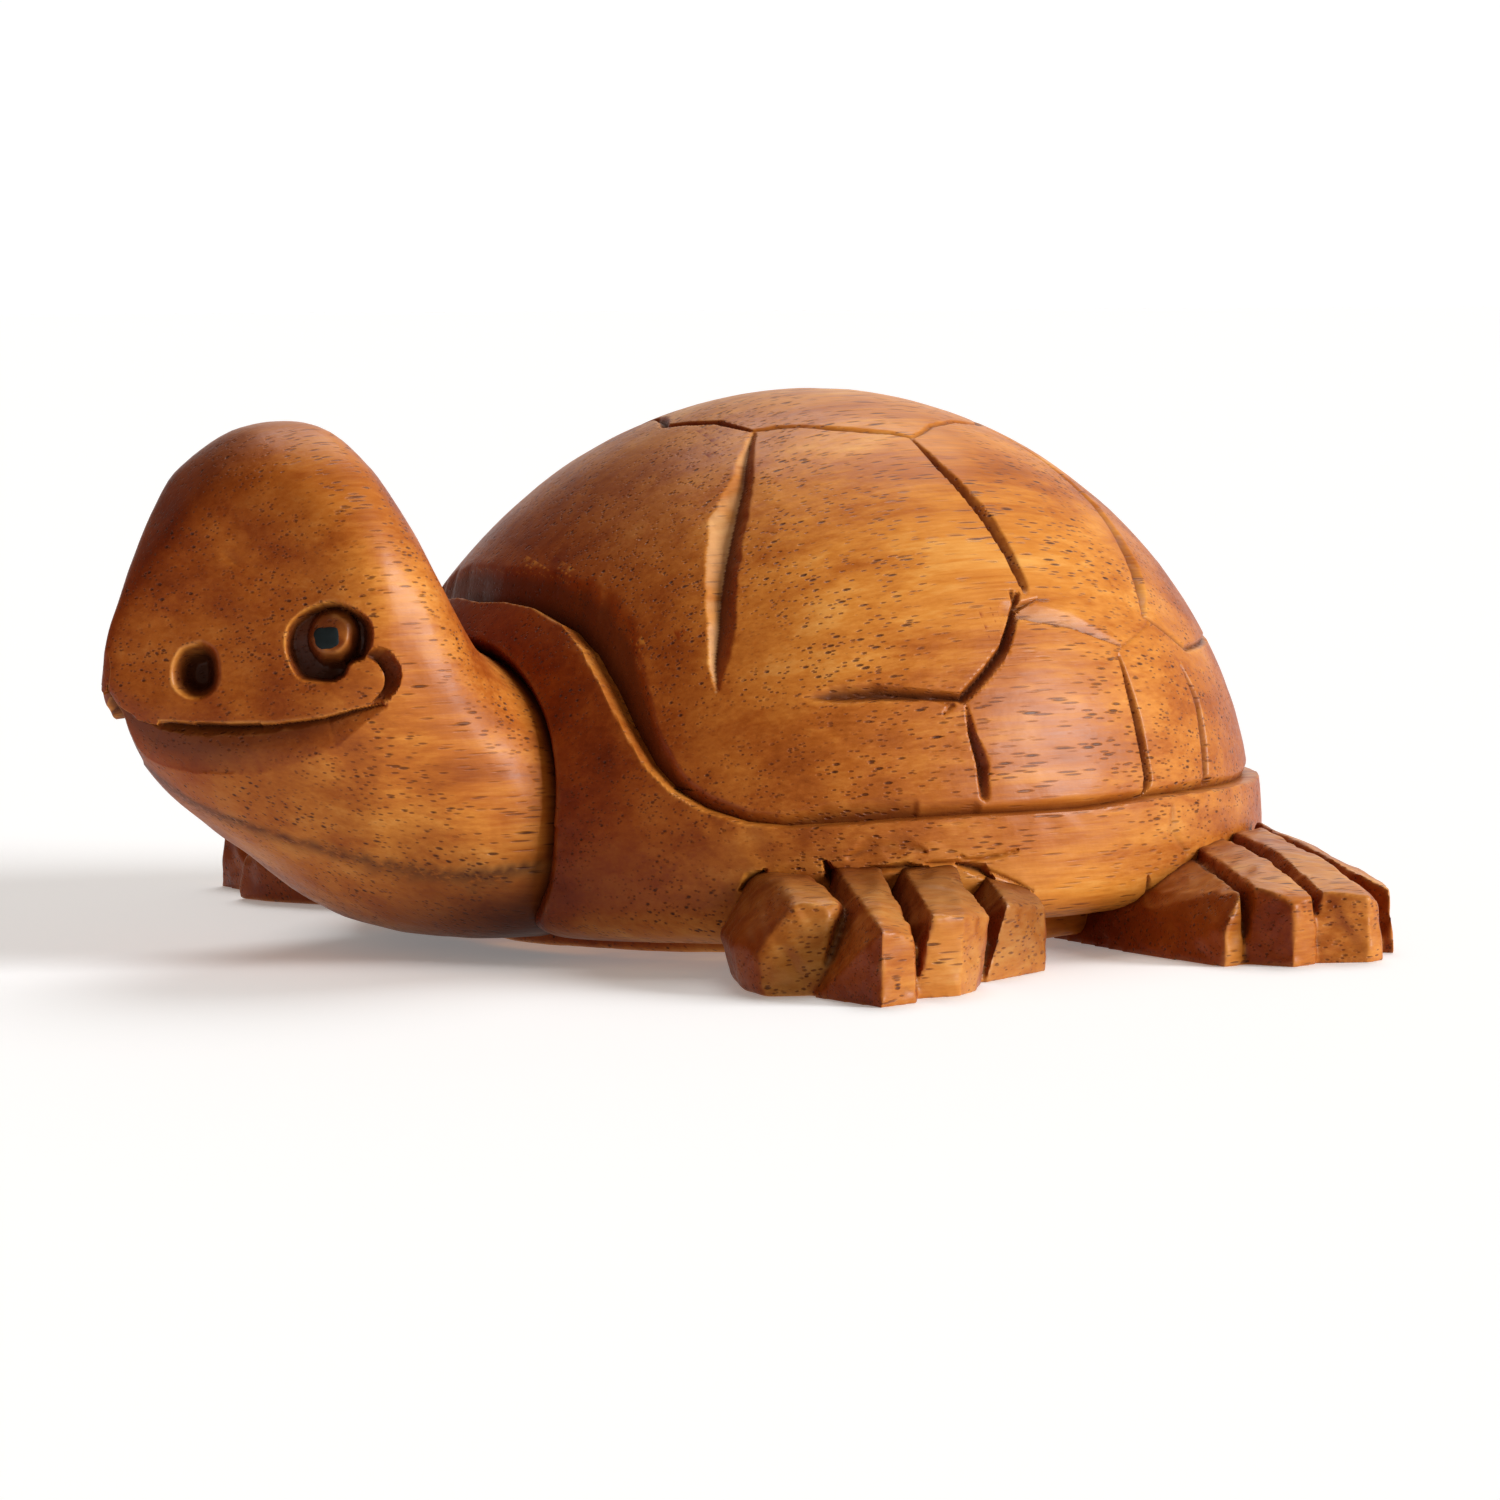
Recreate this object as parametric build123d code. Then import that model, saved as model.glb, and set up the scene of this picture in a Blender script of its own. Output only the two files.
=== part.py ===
"""Carved wooden turtle: a domed shell with scute grooves, a raised head and four splayed feet.

Millimetres, +Z up. The turtle faces -Y, its left side is +X, and its soles stand on z = 0.
The carving is one block of wood, modelled as the forms that its cuts part it into.
"""
from build123d import *
from math import cos, pi, radians, sin, tan
import os

# Shell: an egg-shaped dome, widest at its rim, with a cut all round under its edge
shell_width = 72.6
shell_length = 85.0
shell_rise = 40.2
widest_level = 8.0
seam_level = 12.6
arch_width = 45.0
arch_top_level = 30.4
arch_depth = 24.0

# Scute grooves, as directions seen from the middle of the shell: degrees round from the
# front towards the left, then degrees up
groove_width = 1.1
groove_depth = 0.8
crown_front = (38, 67)
crown_side = (92, 65.5)
crown_rear = (140, 67)
flank_front = (46, 25)
flank_side = (92, 34)
flank_rear = (118, 30)
scute_lines = [
    [crown_front, crown_side, crown_rear],
    [crown_front, flank_front],
    [crown_side, flank_side, (80, 22), (58, 22)],
    [flank_side, (112, 27), flank_rear, crown_rear],
    [flank_rear, (126, 22), (146, 25), (180, 26)],
    [(80, 22), (81, 9)],
    [(108, 26), (106, 9)],
    [(126, 22), (123, 9)],
    [(146, 25), (150, 9)],
]
crossing_lines = [crown_front, crown_rear]

# Body: the rim stands proud of the shell, and the shoulders rise into the front arch
rim_overhang = 0.95
shoulder_rise = 38.6
underside_level = 2.2
underside_round = 2.0

# Plastron: the raised plate under the belly
plastron_width = 60.0
plastron_length = 70.0
plastron_level = 0.6

# Head and neck: one tapering form, told apart at a slanted cut from nape to throat. The
# overhangs and the depth are measured forwards and back from the front edge of the shell
nose_overhang = 29.9
neck_root_depth = 9.5
nape_overhang = 1.5
throat_overhang = 14.5
nape_level = 34.0
head_width = 30.8
head_top_level = 45.8
# Each row: setback from the nose as a share of the form's length, then a share of half the
# width, then top, widest and lowest level as shares of the head's height
form_shares = [
    (0.000, 0.10, 0.610, 0.560, 0.510),
    (0.040, 0.25, 0.682, 0.560, 0.470),
    (0.132, 0.46, 0.825, 0.550, 0.370),
    (0.261, 0.71, 0.947, 0.550, 0.270),
    (0.413, 0.91, 1.000, 0.530, 0.180),
    (0.529, 0.98, 0.985, 0.490, 0.105),
    (0.632, 1.00, 0.880, 0.420, 0.063),
    (0.735, 1.02, 0.710, 0.330, 0.035),
    (0.834, 1.07, 0.590, 0.250, 0.020),
    (1.000, 1.14, 0.530, 0.220, 0.020),
]
form_roundness = 2.15
outline_steps = 8

# Mouth: a cut under the upper lip. Its corners are given as setback shares and level shares
mouth_depth = 1.8
lip_shares = [(-0.074, 0.515), (0.184, 0.470), (0.551, 0.525)]
jaw_shares = [(0.184, 0.440), (-0.074, 0.445)]

# Eyes: a ring gouged round a blunt boss, with a dark pupil let into it. The setback from the
# nose and the level are those of the spot where the eye's axis crosses the middle of the head
eye_setback = 25.0
eye_level = 27.6
eye_heading = 50.0
eye_ring_radius = 3.9
eye_ring_depth = 1.5
boss_base_radius = 2.7
boss_top_radius = 1.7
pupil_radius = 1.15
pupil_length = 2.0
pupil_clearance = 0.05

# Nostrils: two cones, placed in the same way
nostril_setback = 8.6
nostril_level = 26.0
nostril_radius = 1.9
nostril_depth = 2.0

# Feet: each a sloping fan-shaped block, parted into four toes by three tapering notches.
# The seat is how far the foot's own origin lies inside the shell's edge, and its place is a
# share of the shell's length. Outline and notch places are shares of the foot's length and span
foot_length = 22.0
foot_span = 30.0
foot_root_level = 8.6
foot_tip_level = 6.2
notch_angle = 34.0
notch_root_level = 4.0
notch_overrun_share = 0.2
foot_seat = 5.3
front_foot_share = -0.212
front_outline_shares = [
    (-0.41, -0.13), (-0.05, -0.37), (0.32, -0.55), (0.52, -0.56), (0.65, -0.45),
    (1.01, -0.44), (0.99, -0.28), (0.83, -0.02), (0.62, 0.16), (0.49, 0.37),
    (0.23, 0.52), (-0.32, 0.52),
]
front_notch_shares = [
    ((0.07, -0.10), (0.65, -0.45)),
    ((0.16, 0.06), (0.99, -0.28)),
    ((0.25, 0.30), (0.73, 0.08)),
]
rear_foot_share = 0.212
rear_outline_shares = [
    (-0.50, -0.33), (0.23, -0.43), (0.70, -0.37), (0.84, -0.35), (0.87, -0.29),
    (1.00, -0.18), (1.02, -0.11), (1.06, 0.12), (0.89, 0.30), (0.64, 0.42),
    (-0.05, 0.43), (-0.50, 0.33),
]
rear_notch_shares = [
    ((0.16, -0.13), (0.87, -0.28)),
    ((0.11, 0.00), (1.02, -0.11)),
    ((-0.02, 0.17), (1.00, 0.20)),
]

# Tail: a short wedge
tail_length = 8.5
tail_width = 8.0
tail_tip_width = 2.0
tail_root_level = 9.0
tail_tip_level = 4.0
tail_underside_level = 2.6

# Cutting tools run past the faces that they cut by this much
overrun = 10.0

# Where the nose, the neck's root and the tip of the tail lie, from the middle of the shell
nose_reach = shell_length / 2 + nose_overhang
form_length = nose_overhang + neck_root_depth
tail_reach = shell_length / 2 + rim_overhang + tail_length


def dome(width, length, rise):
    """A whole egg whose widest level is the shell's."""
    egg = scale(Sphere(1), by=(width / 2, length / 2, rise))
    return Pos(0, 0, widest_level) * egg


def slab(low, high):
    """Everything between two levels."""
    reach = nose_reach + shell_length + shell_width
    return Pos(0, 0, (low + high) / 2) * Box(reach, reach, high - low)


def arch_tunnel():
    """The round-topped opening in the front of the shell, where the shoulders show."""
    rise = arch_top_level - seam_level
    start = arch_depth - shell_length / 2
    outline = Pos(0, start, seam_level) * Rot(90, 0, 0) * Ellipse(arch_width / 2, rise)
    return extrude(outline, amount=shell_length)


def shell_direction(heading, climb):
    """The point of the shell's egg that lies in this direction from its middle."""
    heading, climb = radians(heading), radians(climb)
    across = shell_width / 2 * sin(heading) * cos(climb)
    along = -shell_length / 2 * cos(heading) * cos(climb)
    return Vector(across, along, shell_rise * sin(climb))


def groove_blade(start, end):
    """A flat blade that cuts one groove, of even depth, between two points of the shell."""
    middle = Vector(0, 0, widest_level)
    first, last = shell_direction(*start), shell_direction(*end)
    between = (first + last).normalized() * (first.length + last.length) / 2
    floor = 1 - groove_depth / shell_rise
    above = 1 + 2 * groove_depth / shell_rise
    bottom = ThreePointArc(*[middle + spot * floor for spot in (first, between, last)])
    sides = Polyline(middle + last * floor, middle + last * above,
                     middle + between * above, middle + first * above,
                     middle + first * floor)
    return extrude(make_face([bottom, sides]), amount=groove_width / 2, both=True)


def mirrored(shapes):
    """The same shapes on the turtle's other side."""
    return [mirror(shape, about=Plane.YZ) for shape in shapes]


def scute_blades():
    """All the blades that cut the scute pattern, left and right."""
    left = [groove_blade(a, b) for line in scute_lines for a, b in zip(line, line[1:])]
    across = [groove_blade(corner, (-corner[0], corner[1])) for corner in crossing_lines]
    return left + mirrored(left) + across


def body_egg():
    """The body's outer form, a little wider than the shell all round."""
    return dome(shell_width + 2 * rim_overhang, shell_length + 2 * rim_overhang, shoulder_rise)


def make_shell():
    """The domed shell, with its front arch and its scute grooves."""
    outer = dome(shell_width, shell_length, shell_rise)
    block = (outer & slab(seam_level, seam_level + 2 * shell_rise)) - arch_tunnel()
    return block - scute_blades()


def make_body():
    """The trunk: a rim with a rounded lower edge, and the shoulders inside the arch."""
    half_width = shell_width / 2 + rim_overhang
    half_length = shell_length / 2 + rim_overhang
    rim = Pos(0, 0, underside_level) * extrude(Ellipse(half_width, half_length),
                                               amount=widest_level - underside_level)
    rim = fillet(rim.faces().sort_by(Axis.Z)[0].edges(), radius=underside_round)
    upper = body_egg() & slab(widest_level, seam_level)
    shoulders = body_egg() & slab(seam_level, widest_level + shell_rise) & arch_tunnel()
    return rim + upper + shoulders


def plastron_prism(low, high):
    """The belly plate's oval outline, drawn up between two levels."""
    return Pos(0, 0, low) * extrude(Ellipse(plastron_width / 2, plastron_length / 2),
                                    amount=high - low)


def form_section(reach, half_width, top, widest, lowest):
    """One upright cross-section of the head and neck, an egg flattened at its sides."""
    power = 2 / form_roundness
    points = []
    for step in range(outline_steps + 1):
        turn = pi * step / outline_steps
        rise = top - widest if cos(turn) > 0 else lowest - widest
        level = widest + rise * abs(cos(turn)) ** power
        points.append(Vector(half_width * abs(sin(turn)) ** power, -reach, level))
    left = Spline(*points, tangents=[(1, 0, 0), (-1, 0, 0)])
    return make_face([left, mirror(left, about=Plane.YZ)])


def form_spot(setback_share, level_share):
    """A point on the middle plane of the head and neck."""
    return Vector(0, form_length * setback_share - nose_reach, head_top_level * level_share)


def head_and_neck(inset=0.0):
    """The whole form from the neck's root to the nose, or one set in from its surface."""
    sections = []
    for setback, wide, *levels in reversed(form_shares):
        half_width = head_width / 2 * wide
        half_width = max(half_width - inset, half_width / 2)
        spots = [form_spot(setback, level) for level in levels]
        sections.append(form_section(-spots[0].Y - inset, half_width, *[spot.Z for spot in spots]))
    return loft(sections)


def neck_cut():
    """The slanted plane from nape to throat; its normal points to the nose."""
    nape = Vector(0, -shell_length / 2 - nape_overhang, nape_level)
    slant = Vector(0, -shell_length / 2 - throat_overhang, 0) - nape
    return Plane(origin=nape, x_dir=(1, 0, 0), z_dir=slant.cross(Vector(1, 0, 0)))


def mouth_cutter():
    """The slot under the upper lip, from one corner of the mouth round to the other."""
    points = [form_spot(*shares) for shares in lip_shares + jaw_shares]
    outline = make_face(Polyline(*points, close=True))
    return extrude(outline, amount=head_width, both=True)


def cheek_plane(form, setback, level, heading):
    """The spot on the left cheek met by a line at this heading, and which way it faces."""
    turn = radians(heading)
    inward = Vector(-sin(turn), cos(turn), 0)
    start = Vector(0, setback - nose_reach, level) - inward * head_width
    aim = Axis(start, inward)
    spots = form.find_intersection_points(aim)
    spot = min(spots, key=lambda hit: (hit[0] - start).length)[0]
    return Plane(origin=spot, x_dir=(0, 0, 1), z_dir=-inward)


def eye_cutter():
    """The ring round the boss, and the seat for the pupil in the boss's end."""
    ring = Pos(0, 0, overrun / 2 - eye_ring_depth) * Cylinder(eye_ring_radius, overrun)
    boss = Pos(0, 0, -eye_ring_depth / 2) * Cone(boss_base_radius, boss_top_radius, eye_ring_depth)
    seat_radius = pupil_radius + pupil_clearance
    seat = Pos(0, 0, overrun / 2 - pupil_length) * Cylinder(seat_radius, overrun)
    return ring - boss + seat


def make_pupil():
    """A short round peg whose end is flush with the boss."""
    return Pos(0, 0, -pupil_length / 2) * Cylinder(pupil_radius, pupil_length)


def nostril_cutter():
    """A cone that narrows inwards, and widens outwards until it is clear of the cheek."""
    return Cone(0, 2 * nostril_radius, 2 * nostril_depth)


def foot_spot(shares, level):
    """A point of the foot at these shares of its length and span."""
    out, across = shares
    return Vector(out * foot_length, across * foot_span, level)


def notch(root, tip):
    """A tapering V between two toes, from high on the foot's root to the ground at its tip."""
    inner, outer = foot_spot(root, notch_root_level), foot_spot(tip, 0)
    outer = outer + (outer - inner) * notch_overrun_share
    ends = []
    sideways = (outer - inner).cross(Vector(0, 0, 1)).normalized()
    for apex in (inner, outer):
        climb = foot_root_level + foot_tip_level - apex.Z
        spread = sideways * climb * tan(radians(notch_angle / 2))
        high = apex + Vector(0, 0, climb)
        ends.append(make_face(Polyline(apex, high - spread, high + spread, close=True)))
    return loft(ends, ruled=True)


def make_foot(place_share, outline_shares, notch_shares, body):
    """A left foot, cut away where the body is."""
    plan = make_face(Polyline(*[foot_spot(shares, 0) for shares in outline_shares], close=True))
    block = extrude(plan, amount=foot_root_level)
    slope = make_face(Polyline(
        Vector(-foot_length, 0, 0), Vector(2 * foot_length, 0, 0),
        Vector(2 * foot_length, 0, 2 * foot_tip_level - foot_root_level),
        Vector(0, 0, foot_root_level), Vector(-foot_length, 0, foot_root_level), close=True))
    block = block & extrude(slope, amount=foot_span, both=True)
    block = block - [notch(root, tip) for root, tip in notch_shares]
    return Pos(shell_width / 2 - foot_seat, shell_length * place_share, 0) * block - body


def make_tail(body):
    """A pointed wedge behind the rim."""
    root = -tail_length
    points = [(root, tail_width / 2), (0, tail_width / 2), (tail_length, tail_tip_width / 2),
              (tail_length, -tail_tip_width / 2), (0, -tail_width / 2), (root, -tail_width / 2)]
    plan = extrude(make_face(Polyline(*points, close=True)), amount=tail_root_level)
    side = make_face(Polyline(
        Vector(root, 0, tail_underside_level), Vector(tail_length, 0, tail_underside_level),
        Vector(tail_length, 0, tail_tip_level), Vector(0, 0, tail_root_level),
        Vector(root, 0, tail_root_level), close=True))
    wedge = plan & extrude(side, amount=tail_width, both=True)
    return Pos(0, shell_length / 2 + rim_overhang, 0) * Rot(0, 0, 90) * wedge - body


def turtle():
    """Every piece in place, about the middle of the shell."""
    body = make_body()
    plastron = plastron_prism(plastron_level, underside_level)
    form = head_and_neck()
    head = split(form, bisect_by=neck_cut(), keep=Keep.TOP)
    neck = split(form, bisect_by=neck_cut(), keep=Keep.BOTTOM) - body - plastron
    eye = cheek_plane(form, eye_setback, eye_level, eye_heading)
    nostril = cheek_plane(form, nostril_setback, nostril_level, eye_heading)
    left_cuts = [eye * eye_cutter(), nostril * nostril_cutter()]
    head = head - (mouth_cutter() - head_and_neck(mouth_depth)) - left_cuts - mirrored(left_cuts)
    left_pupil = eye * make_pupil()
    trunk = [body, plastron_prism(0, underside_level)]
    front_foot = make_foot(front_foot_share, front_outline_shares, front_notch_shares, trunk)
    rear_foot = make_foot(rear_foot_share, rear_outline_shares, rear_notch_shares, trunk)
    return {
        "shell": make_shell(),
        "body": body,
        "plastron": plastron,
        "neck": neck,
        "head": head,
        "left_pupil": left_pupil,
        "right_pupil": mirror(left_pupil, about=Plane.YZ),
        "front_left_foot": front_foot,
        "front_right_foot": mirror(front_foot, about=Plane.YZ),
        "rear_left_foot": rear_foot,
        "rear_right_foot": mirror(rear_foot, about=Plane.YZ),
        "tail": make_tail(body),
    }


# The nose and the tip of the tail come to lie at equal distances from the origin
to_origin = Pos(0, (nose_reach - tail_reach) / 2, 0)
os.makedirs("parts", exist_ok=True)
for name, piece in turtle().items():
    export_step(to_origin * piece, f"parts/{name}.step")
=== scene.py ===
from contextlib import contextmanager
from math import cos, pi, radians, sin, sqrt

import bpy
import numpy as np
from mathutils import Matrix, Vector


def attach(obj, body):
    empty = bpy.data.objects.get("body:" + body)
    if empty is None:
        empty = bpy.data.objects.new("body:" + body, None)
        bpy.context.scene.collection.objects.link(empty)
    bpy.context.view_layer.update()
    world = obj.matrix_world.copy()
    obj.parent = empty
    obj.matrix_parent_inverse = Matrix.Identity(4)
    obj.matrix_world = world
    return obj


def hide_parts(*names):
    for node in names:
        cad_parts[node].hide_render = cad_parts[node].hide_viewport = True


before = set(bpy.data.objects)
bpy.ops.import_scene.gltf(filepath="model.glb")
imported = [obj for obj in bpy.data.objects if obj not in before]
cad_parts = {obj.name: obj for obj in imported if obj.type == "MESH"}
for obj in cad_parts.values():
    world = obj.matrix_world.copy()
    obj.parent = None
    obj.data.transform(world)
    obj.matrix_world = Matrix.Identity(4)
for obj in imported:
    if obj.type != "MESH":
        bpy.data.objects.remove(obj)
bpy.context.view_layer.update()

# ---- Shell ----
# The dome of the carving, one block of open-pored hardwood with its grain along the turtle.
# It is rasped and sanded round, then its plates are outlined with single strokes of a V-tool,
# and a gouge is run round its edge to set it off from the trunk.
mm = 0.001
# The dome is an egg round this middle, in mm, with slightly flattened shoulders
middle = np.array([0.0, 10.225, 8.0])
shell_radii = np.array([36.3, 42.5, 40.2])
shell_shoulder = 0.012
# The line where shell and trunk meet: degrees round from the front, degrees up
edge_line = np.array([
    (0, 33.3), (7, 33.6), (13.7, 33.0), (21, 30.8), (26, 27.6), (30.5, 23.0), (34.5, 17.9),
    (38.5, 12.9), (42, 9.9), (46, 7.8), (51, 6.3), (56, 5.8), (62, 6.0), (70, 6.4), (79, 6.6),
    (94, 6.5), (106, 7.2), (137, 6.9), (160, 6.7), (180, 6.6)])
# The gouged channel above that line: degrees round, width and depth in mm
channel = np.array([
    (0, 3.8, 2.0), (25, 4.2, 2.2), (33, 4.2, 2.2), (38, 3.0, 1.8), (44, 1.6, 1.2), (52, 1.2, 0.9),
    (55, 1.2, 0.8), (60, 2.0, 1.0), (68, 2.2, 1.0), (71.4, 2.0, 0.9), (72, 1.5, 0.8),
    (79, 1.6, 0.9), (80, 1.0, 0.8), (92, 1.3, 0.8), (104, 0.9, 0.8), (118, 1.4, 0.9),
    (130, 1.0, 0.8), (145, 1.5, 0.9), (160, 1.0, 0.8), (180, 1.4, 0.9)])
# Each groove: rows of degrees round, degrees up, width of its front and rear flank, and depth
grooves = [
    [(0, 67.9, 0.45, 0.45, 0.65), (9, 68.9, 0.5, 0.5, 0.7), (23.6, 69.4, 0.45, 0.45, 0.6),
     (39.3, 67.0, 0.2, 0.2, 0.3)],
    [(39.3, 67.0, 0.2, 0.2, 0.25), (46.8, 68.0, 0.4, 0.5, 0.3), (55.1, 68.3, 0.3, 0.4, 0.2),
     (70.1, 67.3, 0.45, 0.5, 0.3), (84.6, 66.2, 0.4, 0.4, 0.25), (89.7, 64.9, 0.2, 0.3, 0.3)],
    [(89.7, 64.7, 0.2, 0.2, 0.2), (104, 68.0, 0.3, 0.3, 0.3), (120, 68.9, 0.3, 0.3, 0.35),
     (139, 67.5, 0.35, 0.35, 0.4)],
    [(139, 67.5, 0.35, 0.35, 0.4), (160, 68.6, 0.4, 0.4, 0.5), (181, 68.2, 0.4, 0.4, 0.5)],
    [(40.4, 66.3, 0.2, 0.3, 0.2), (43.8, 55.1, 1.0, 0.9, 0.8), (44.2, 48.0, 2.1, 1.2, 1.15),
     (44.5, 40.8, 1.6, 1.3, 1.15), (44.9, 35.1, 1.2, 1.4, 1.05), (45.3, 31.7, 0.9, 1.4, 0.9),
     (45.6, 26.4, 0.5, 1.2, 0.6), (46.3, 22.7, 0.12, 0.12, 0.08)],
    [(89.3, 64.9, 0.1, 0.3, 0.2), (89.7, 57.7, 0.15, 1.0, 0.8), (91.1, 52.6, 0.15, 1.25, 0.95),
     (92.3, 46.9, 0.15, 1.25, 0.95), (92.9, 41.3, 0.15, 1.1, 0.9), (93.0, 36.5, 0.15, 0.9, 0.6)],
    [(90.7, 35.4, 0.3, 0.5, 0.4), (90.6, 33.1, 0.4, 0.6, 0.6), (95.4, 34.6, 0.05, 0.05, 0.05)],
    [(91.6, 35.3, 0.25, 0.4, 0.5), (89.2, 31.8, 0.4, 0.6, 0.9), (86.3, 27.8, 0.4, 0.7, 1.0),
     (82.2, 24.2, 0.45, 0.7, 1.0), (78.6, 21.4, 0.4, 0.6, 0.9)],
    [(78.6, 21.4, 0.5, 0.45, 0.9), (73.2, 21.9, 0.6, 0.6, 1.0), (67.2, 22.3, 0.95, 0.75, 1.1),
     (61.2, 22.0, 0.9, 0.7, 0.7), (58.2, 21.8, 0.5, 0.35, 0.1)],
    [(74.9, 21.4, 0.2, 0.2, 0.2), (77.2, 20.5, 0.3, 0.3, 0.35), (75.8, 19.3, 0.1, 0.1, 0.1)],
    [(90.3, 31.8, 0.12, 1.9, 0.36), (99.5, 29.9, 0.12, 1.5, 0.32), (107.9, 26.9, 0.1, 0.4, 0.15)],
    [(107.9, 26.9, 0.15, 0.15, 0.15), (117.6, 29.8, 0.15, 0.15, 0.12)],
    [(140, 66.0, 0.15, 0.3, 0.3), (136, 57.0, 0.15, 0.9, 0.6), (131.8, 48.4, 0.15, 1.3, 0.8),
     (127.9, 44.0, 0.15, 1.6, 0.9), (123.6, 39.0, 0.15, 1.7, 0.9), (120.2, 34.9, 0.15, 1.4, 0.8),
     (117.1, 30.9, 0.1, 0.4, 0.3)],
    [(117.1, 30.9, 0.2, 0.2, 0.25), (126, 25.5, 0.4, 0.4, 0.4), (146, 26.0, 0.45, 0.45, 0.6),
     (165, 27.5, 0.45, 0.45, 0.6), (181, 27.0, 0.4, 0.4, 0.5)],
    [(79.1, 20.4, 0.1, 0.15, 0.12), (79.2, 16.9, 0.3, 0.6, 0.6), (80.1, 12.7, 0.4, 0.9, 0.85),
     (80.2, 9.0, 0.35, 0.6, 0.4)],
    [(106.5, 25.9, 0.1, 0.2, 0.2), (106.1, 20.7, 0.35, 0.6, 0.7), (105.9, 15.5, 0.4, 0.8, 0.9),
     (105.8, 9.7, 0.4, 0.7, 0.8), (104.8, 7.2, 0.3, 0.4, 0.5)],
    [(121.6, 23.6, 0.15, 0.2, 0.2), (122.2, 18.5, 0.4, 0.9, 0.8), (120.8, 13.3, 0.4, 1.0, 0.9),
     (119.4, 8.3, 0.4, 0.8, 0.8), (123.8, 7.3, 0.2, 0.3, 0.4)],
    [(146, 26.0, 0.3, 0.3, 0.4), (148, 18.0, 0.45, 0.5, 0.55), (150, 8.5, 0.4, 0.5, 0.5)],
]


def spots(piece):
    """The points of a piece, in mm, one row each."""
    flat = np.empty(3 * len(piece.data.vertices))
    piece.data.vertices.foreach_get("co", flat)
    return flat.reshape(-1, 3) / mm


def settle(piece, points):
    """Moves the points of a piece, given in mm."""
    piece.data.vertices.foreach_set("co", (points * mm).ravel())
    piece.data.update()


def facing(piece):
    """The way that the surface faces at each point."""
    flat = np.empty(3 * len(piece.data.vertices))
    piece.data.vertex_normals.foreach_get("vector", flat)
    return flat.reshape(-1, 3)


def length(rows):
    return np.sqrt((rows * rows).sum(-1))


def unit(way):
    """The same direction with a length of 1."""
    return np.array(way) / sqrt(np.dot(way, way))


def ease(value, start, end):
    """0 before start, 1 after end and smooth between."""
    share = np.clip((value - start) / (end - start), 0, 1)
    return share * share * (3 - 2 * share)


def ripple(points, size, seed=0.0):
    """A slow unevenness between -1 and 1, as a hand tool leaves it, in lumps of this size."""
    x, y, z = (points / size + seed).T
    return (np.sin(2.1 * x + 1.7 * np.sin(1.3 * y + z))
            + np.sin(1.9 * y + 1.5 * np.sin(1.1 * z + x))
            + np.sin(2.3 * z + 1.6 * np.sin(1.2 * x + y))) / 3


def turning(points):
    """Degrees round from the front and degrees up, as seen from the middle of the shell."""
    x, y, z = ((points - middle) / shell_radii).T
    return np.degrees(np.arctan2(x, -y)), np.degrees(np.arctan2(z, np.hypot(x, y)))


def on_shell(around, up, radii=shell_radii):
    """The spot of an egg of these radii that lies in this direction from its middle."""
    around, up = np.radians(around), np.radians(up)
    flat = 1 - shell_shoulder * np.sin(2 * up) ** 2
    out = np.stack([np.sin(around) * np.cos(up), -np.cos(around) * np.cos(up), np.sin(up)], -1)
    return middle + out * radii * np.expand_dims(flat, -1)


def past_edge(points):
    """Millimetres above the line where shell and trunk meet; below it the value is negative."""
    around, up = turning(points)
    around = np.abs(around)
    rise = np.interp(around, *edge_line.T)
    slope = (np.interp(around + 1, *edge_line.T) - np.interp(around - 1, *edge_line.T)) / 2
    up_mm = shell_radii[2] * pi / 180
    round_mm = up_mm * np.maximum(np.cos(np.radians(up)), 0.2)
    return (up - rise) / np.sqrt(1 / up_mm ** 2 + (slope / round_mm) ** 2)


class Stroke:
    """A cut along a line of spots, with its own width on either side and its own depth.

    hollow bends its flanks, rough makes its edges uneven, and bare is the side, 1 or -1, of a
    flank that is left pale, or 0.
    """

    farthest = 4  # mm from the line, past which a stroke cuts nothing

    def __init__(self, line, left, right, depth, hollow=1.0, rough=0.1, bare=0):
        self.line, self.depth = np.array(line), np.array(depth)
        self.left, self.right = np.array(left), np.array(right)
        self.hollow, self.rough, self.bare = hollow, rough, bare

    def measure(self, points):
        """How far each point is from the line, how far along, and the offset from the line."""
        near = np.full(len(points), np.inf)
        along, offset, way = np.zeros(len(points)), np.zeros_like(points), np.zeros_like(points)
        for k, (start, end) in enumerate(zip(self.line, self.line[1:])):
            run = end - start
            share = np.clip((points - start) @ run / (run @ run), 0, 1)
            step = points - start - share[:, None] * run
            far = length(step)
            closer = far < near
            near[closer], along[closer] = far[closer], k + share[closer]
            offset[closer], way[closer] = step[closer], unit(run)
        return near, along, offset, way

    def reaches(self, points, margin):
        return self.measure(points)[0] < max(self.left.max(), self.right.max()) + margin

    def cut(self, points, normals):
        """How deep the cut is at each point; it also notes which points are left pale."""
        near, along, offset, way = self.measure(points)
        offset = offset - (offset * normals).sum(1)[:, None] * normals
        side = (offset * np.cross(normals, way)).sum(1)
        stops = np.arange(len(self.line))
        left, right, depth = (np.interp(along, stops, values)
                              for values in (self.left, self.right, self.depth))
        wobble = 1 + self.rough * ripple(points, 0.9) + 0.4 * self.rough * ripple(points, 0.4, 3.0)
        wide = np.where(side > 0, left, right) * wobble
        inside = np.clip(1 - length(offset) / wide, 0, 1) ** self.hollow * (near < self.farthest)
        self.pale = (inside > 0.03) & (side * self.bare > 0)
        return depth * inside


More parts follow.
